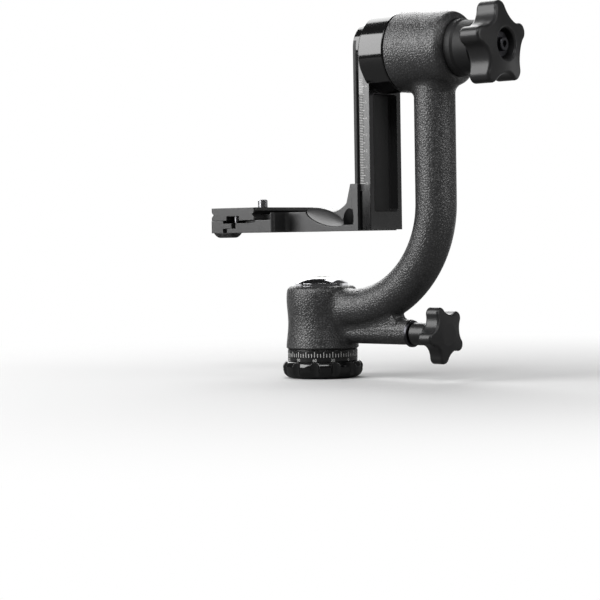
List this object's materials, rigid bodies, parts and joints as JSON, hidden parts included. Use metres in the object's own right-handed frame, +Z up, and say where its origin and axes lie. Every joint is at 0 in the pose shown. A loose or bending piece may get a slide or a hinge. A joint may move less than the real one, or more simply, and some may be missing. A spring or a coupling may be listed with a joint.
{
  "type": "gimbal tripod head",
  "caption": "Side-mount gimbal head: a cast J arm pans on a dialled base, a swing arm tilts on it and carries a height-adjustable L platform with a quick-release clamp.",
  "frame": {"origin": "centre of the base's bottom face, on the pan axis at the mouth of the tripod socket", "axes": "+Z up along the pan axis; +X along the tilt axis towards the tilt knob; -Y is the way the lens looks; +Y is back"},
  "size_m": [0.233, 0.06, 0.2287],
  "materials": {
    "crinkle_casting": "matt black crinkle powder coat",
    "gloss_black": "gloss black anodised aluminium",
    "satin_black": "satin black anodised aluminium",
    "knob_black": "satin black moulded knob",
    "steel": "turned steel",
    "dark_steel": "black oxide steel",
    "bronze": "sintered bronze",
    "brass": "machined brass",
    "slip_plastic": "white low-friction plastic",
    "level_green": "clear level vial with pale green fluid",
    "pad_rubber": "black ribbed rubber"
  },
  "bodies": {
    "base": {"base_flange": "gloss_black", "degree_dial": "satin_black", "pan_spindle": "steel", "spindle_screws": "dark_steel", "pan_thrust_washer": "slip_plastic", "pan_clamp_washer": "steel", "pan_retaining_nut": "steel"},
    "arm": {"arm_casting": "crinkle_casting", "pan_bush_lower": "bronze", "pan_bush_upper": "bronze", "level_housing": "satin_black", "level_vial": "level_green", "pan_lock_bush": "dark_steel", "tilt_bush_inner": "bronze", "tilt_bush_outer": "bronze", "tilt_friction_washer": "slip_plastic"},
    "pan_brake": {"pan_brake_shoe": "brass"},
    "pan_lock": {"pan_knob": "knob_black", "pan_lock_stud": "steel"},
    "swing": {"swing_arm": "gloss_black", "tilt_shaft": "steel", "shaft_screws": "dark_steel", "tilt_stop_washer": "steel", "tilt_stop_screw": "dark_steel"},
    "tilt_brake": {"tilt_collar": "satin_black", "collar_pins": "steel"},
    "tilt_lock": {"tilt_knob": "knob_black", "tilt_knob_insert": "steel"},
    "platform": {"platform_bracket": "satin_black", "clamp_guide_pins": "steel"},
    "height_brake": {"height_gib": "brass"},
    "height_lock": {"height_knob": "knob_black", "height_lock_screw": "steel"},
    "jaw": {"clamp_jaw": "satin_black"},
    "jaw_lock": {"clamp_knob": "knob_black", "clamp_screw": "steel"},
    "plate": {"qr_plate": "satin_black", "plate_pads": "pad_rubber", "plate_stop_screws": "steel"},
    "camera_bolt": {"camera_screw": "steel"}
  },
  "joints": [
    {"name": "pan", "type": "hinge", "parent": "base", "child": "arm", "pos_m": [0, 0, 0.0185], "axis": [0, 0, 1], "continuous": true},
    {"name": "tilt", "type": "hinge", "parent": "arm", "child": "swing", "pos_m": [0.0704, 0, 0.2026], "axis": [1, 0, 0], "continuous": true},
    {"name": "pan_brake_slide", "type": "slide", "parent": "arm", "child": "pan_brake", "axis": [1, 0, 0], "range_m": [0, 0.0015]},
    {"name": "pan_knob_turn", "type": "hinge", "parent": "pan_brake", "child": "pan_lock", "pos_m": [0.0842, 0, 0.029], "axis": [1, 0, 0], "range_deg": [0, 540]},
    {"name": "tilt_brake_slide", "type": "slide", "parent": "arm", "child": "tilt_brake", "axis": [1, 0, 0], "range_m": [0, 0.00175]},
    {"name": "tilt_knob_turn", "type": "hinge", "parent": "tilt_brake", "child": "tilt_lock", "pos_m": [0.1364, 0, 0.2026], "axis": [1, 0, 0], "range_deg": [0, 360]},
    {"name": "platform_height", "type": "slide", "parent": "swing", "child": "platform", "axis": [0, 0, 1], "range_m": [0, 0.06]},
    {"name": "height_gib_slide", "type": "slide", "parent": "platform", "child": "height_brake", "axis": [0, 1, 0], "range_m": [0, 0.0005]},
    {"name": "height_knob_turn", "type": "hinge", "parent": "height_brake", "child": "height_lock", "pos_m": [0.04295, 0.0222, 0.108], "axis": [0, 1, 0], "range_deg": [0, 258]},
    {"name": "jaw_slide", "type": "slide", "parent": "platform", "child": "jaw", "axis": [-1, 0, 0], "range_m": [0, 0.003]},
    {"name": "clamp_knob_turn", "type": "hinge", "parent": "jaw", "child": "jaw_lock", "pos_m": [-0.08, 0, 0.0979], "axis": [-1, 0, 0], "range_deg": [0, 1350]},
    {"name": "plate_slide", "type": "slide", "parent": "platform", "child": "plate", "axis": [0, 1, 0], "range_m": [-0.012, 0.012]},
    {"name": "camera_screw_turn", "type": "hinge", "parent": "plate", "child": "camera_bolt", "pos_m": [-0.0489, 0, 0.1041], "axis": [0, 0, 1], "continuous": true}
  ],
  "couplings": [
    {"joint": "pan_knob_turn", "follows": "pan_brake_slide", "rad_per_m": 6283.2},
    {"joint": "tilt_knob_turn", "follows": "tilt_brake_slide", "rad_per_m": 3590.4},
    {"joint": "height_knob_turn", "follows": "height_gib_slide", "rad_per_m": 8976},
    {"joint": "clamp_knob_turn", "follows": "jaw_slide", "rad_per_m": 7854}
  ]
}
